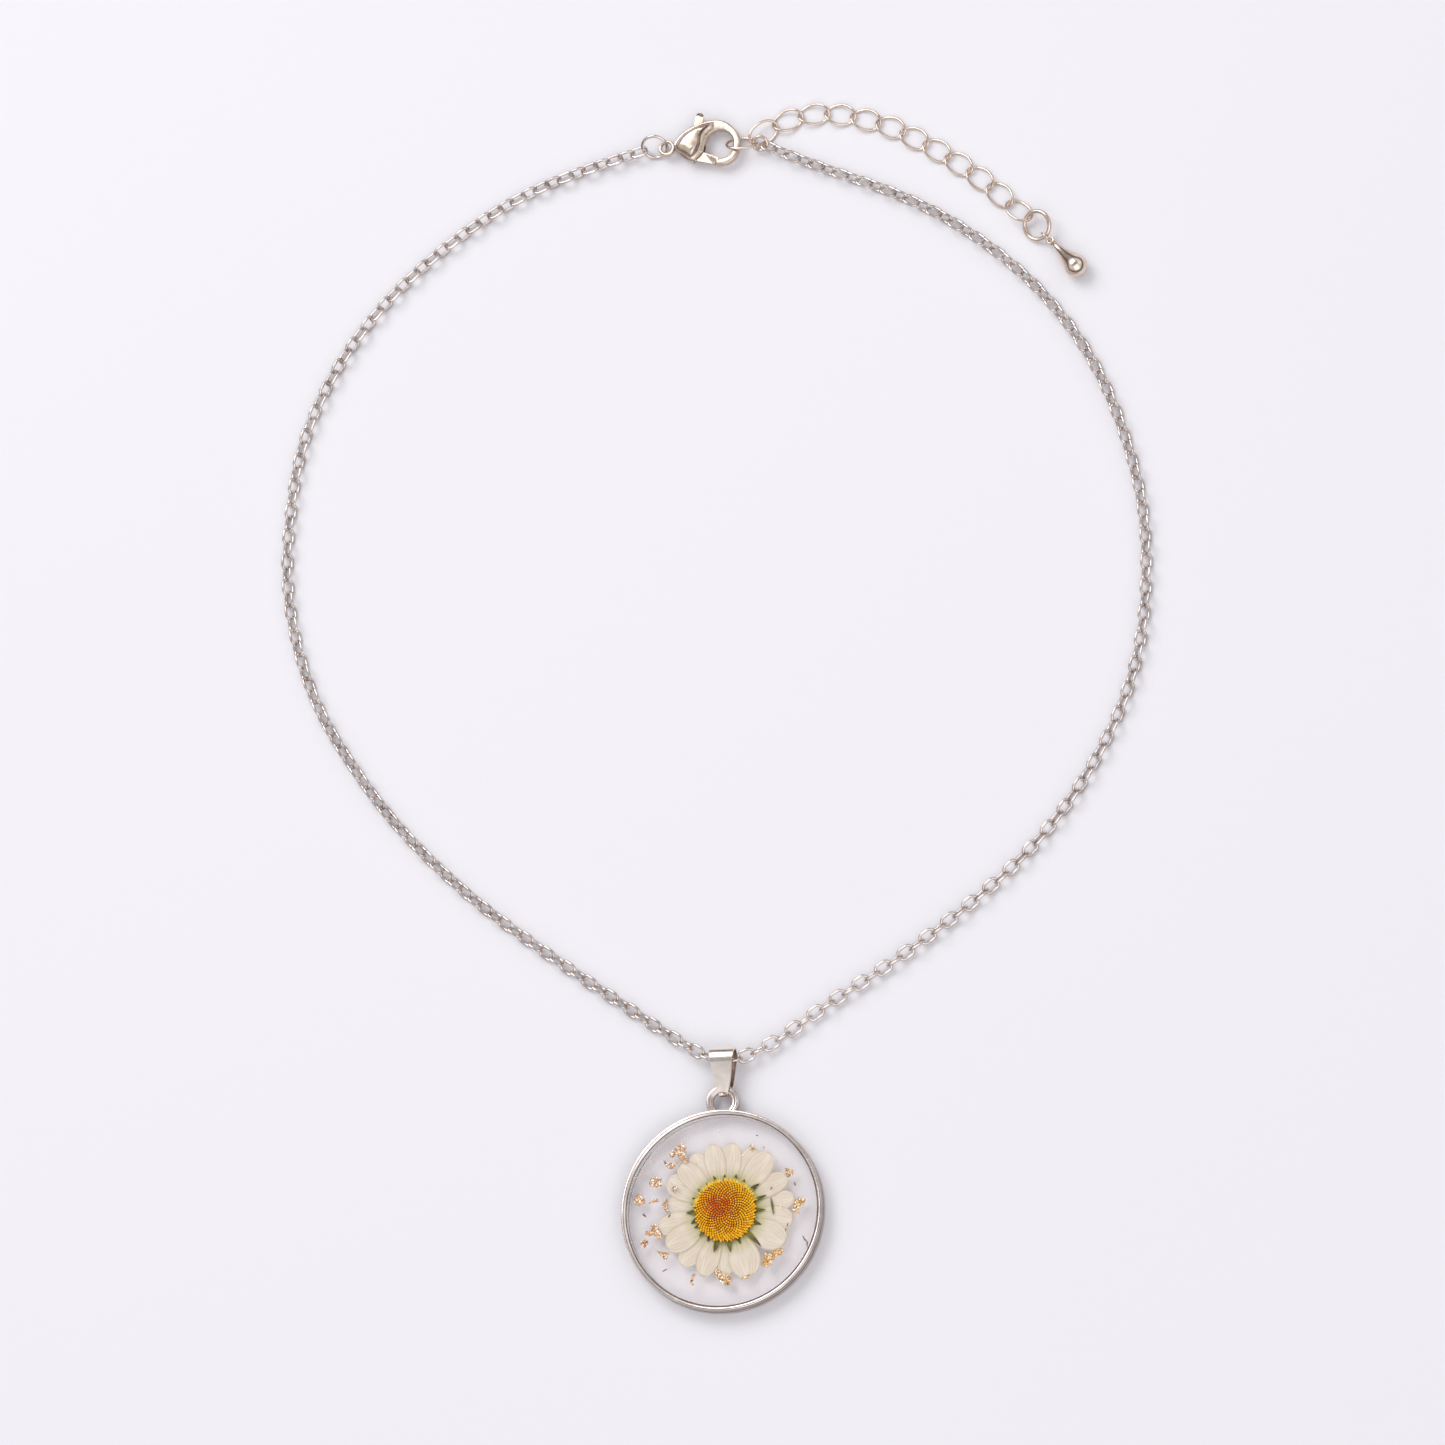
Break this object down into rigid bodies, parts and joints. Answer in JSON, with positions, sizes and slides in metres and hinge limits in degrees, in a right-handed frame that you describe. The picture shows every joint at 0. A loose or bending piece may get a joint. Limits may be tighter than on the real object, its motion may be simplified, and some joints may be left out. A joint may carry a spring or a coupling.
{
  "type": "flower pendant necklace",
  "caption": "Round resin pendant with a pressed daisy and foil flakes, on a cable chain with a lobster clasp and an extender.",
  "frame": {"origin": "centre of the pendant's flat back, on the surface that the necklace lies on", "axes": "+Y from the pendant towards the clasp, along the necklace's length, +Z out of the pendant's front"},
  "size_m": [0.133, 0.1861, 0.004],
  "materials": {
    "rim_metal": "polished silver-coloured plating",
    "chain_metal": "polished silver-coloured plating",
    "fitting_metal": "polished plating, slightly warmer than the chain",
    "resin_clear": "clear cast resin, glossy dome",
    "petal": "dried petal, cream, fine lengthwise veins",
    "bract": "dried olive green",
    "florets": "dried golden florets",
    "gold_foil": "crumpled rose-gold leaf"
  },
  "bodies": {
    "necklace": {"bezel_frame": "rim_metal", "resin_back": "resin_clear", "resin_front": "resin_clear", "petal_01": "petal", "petal_02": "petal", "petal_03": "petal", "petal_04": "petal", "petal_05": "petal", "petal_06": "petal", "petal_07": "petal", "petal_08": "petal", "petal_09": "petal", "petal_10": "petal", "petal_11": "petal", "petal_12": "petal", "petal_13": "petal", "petal_14": "petal", "petal_15": "petal", "petal_16": "petal", "petal_17": "petal", "petal_18": "petal", "flower_bracts": "bract", "flower_disc": "florets", "leaf_sliver": "bract", "gold_flakes": "gold_foil", "bail": "rim_metal", "chain": "chain_metal", "clasp_jump_ring": "fitting_metal", "clasp_body": "fitting_metal", "clasp_pin": "fitting_metal", "chain_end_ring": "fitting_metal", "extender_chain": "fitting_metal", "end_ring": "fitting_metal", "drop_ring": "fitting_metal", "drop": "fitting_metal"},
    "lever": {"clasp_lever": "fitting_metal"}
  },
  "joints": [
    {"name": "clasp_lever", "type": "hinge", "parent": "necklace", "child": "lever", "pos_m": [-0.00445, 0.16518, 0.0014], "axis": [0, 0, 1], "range_deg": [0, 22], "stiffness_Nm_per_rad": 0.0002, "springref_deg": -11.46}
  ]
}
